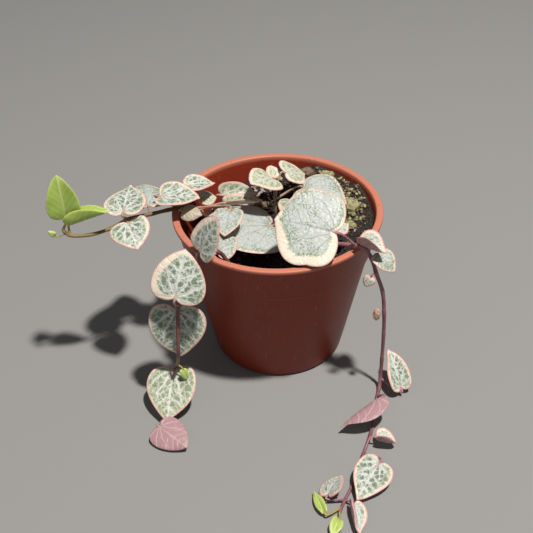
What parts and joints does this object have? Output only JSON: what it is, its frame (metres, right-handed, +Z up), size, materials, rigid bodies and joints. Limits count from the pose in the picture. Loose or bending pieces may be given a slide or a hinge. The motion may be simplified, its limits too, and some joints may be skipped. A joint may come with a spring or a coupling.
{
  "type": "potted string of hearts",
  "caption": "Small variegated string of hearts in a thin round nursery pot: heart leaves on a vine running out over the rim and on vines trailing down to lie on the surface.",
  "frame": {"origin": "centre of the pot's underside, on the surface that the pot stands on", "axes": "+Z up along the pot's axis, +X to the right as seen from the front, -Y towards the front"},
  "size_m": [0.1004, 0.1069, 0.0676],
  "materials": {
    "pot_plastic": "moulded terracotta-coloured polypropylene, satin, slightly scuffed",
    "peat": "dark moist peat with fine grit",
    "perlite": "crumbly pale grey perlite",
    "bark": "rough composted bark",
    "moss": "tufted dry yellow-green moss",
    "stem": "smooth purple-brown stem skin",
    "leaf": "thick waxy leaf, green marbled with silver, cream and pink edged",
    "young_leaf": "fresh lime green leaf, satin",
    "bud": "dry pinkish swollen node"
  },
  "bodies": {
    "root": {"bark_1": "bark", "bark_2": "bark", "bark_3": "bark", "crown_vine_leaf_1": "leaf", "crown_vine_leaf_2": "leaf", "crown_vine_leaf_3": "leaf", "crown_vine_leaf_4": "leaf", "crown_vine_leaf_5": "leaf", "crown_vine_leaf_6": "leaf", "crown_vine_leaf_7": "leaf", "crown_vine_stem": "stem", "front_vine_bud": "young_leaf", "front_vine_leaf_1": "leaf", "front_vine_leaf_2": "leaf", "front_vine_leaf_3": "leaf", "front_vine_leaf_4": "leaf", "front_vine_leaf_5": "leaf", "front_vine_leaf_6": "leaf", "front_vine_stem": "stem", "moss_1": "moss", "moss_2": "moss", "moss_3": "moss", "perlite_1": "perlite", "perlite_2": "perlite", "perlite_3": "perlite", "pot": "pot_plastic", "runner_bud": "young_leaf", "runner_folded_leaf": "young_leaf", "runner_leaf_1": "leaf", "runner_leaf_10": "leaf", "runner_leaf_2": "leaf", "runner_leaf_3": "leaf", "runner_leaf_4": "leaf", "runner_leaf_5": "leaf", "runner_leaf_6": "leaf", "runner_leaf_7": "leaf", "runner_leaf_8": "leaf", "runner_leaf_9": "leaf", "runner_stem": "stem", "runner_upright_leaf": "young_leaf", "side_vine_bud": "bud", "side_vine_leaf_1": "leaf", "side_vine_leaf_10": "leaf", "side_vine_leaf_2": "leaf", "side_vine_leaf_3": "leaf", "side_vine_leaf_4": "leaf", "side_vine_leaf_5": "leaf", "side_vine_leaf_6": "leaf", "side_vine_leaf_7": "leaf", "side_vine_leaf_8": "leaf", "side_vine_leaf_9": "leaf", "side_vine_stem": "stem", "side_vine_young_leaf_1": "young_leaf", "side_vine_young_leaf_2": "young_leaf", "soil": "peat"}
  },
  "joints": []
}
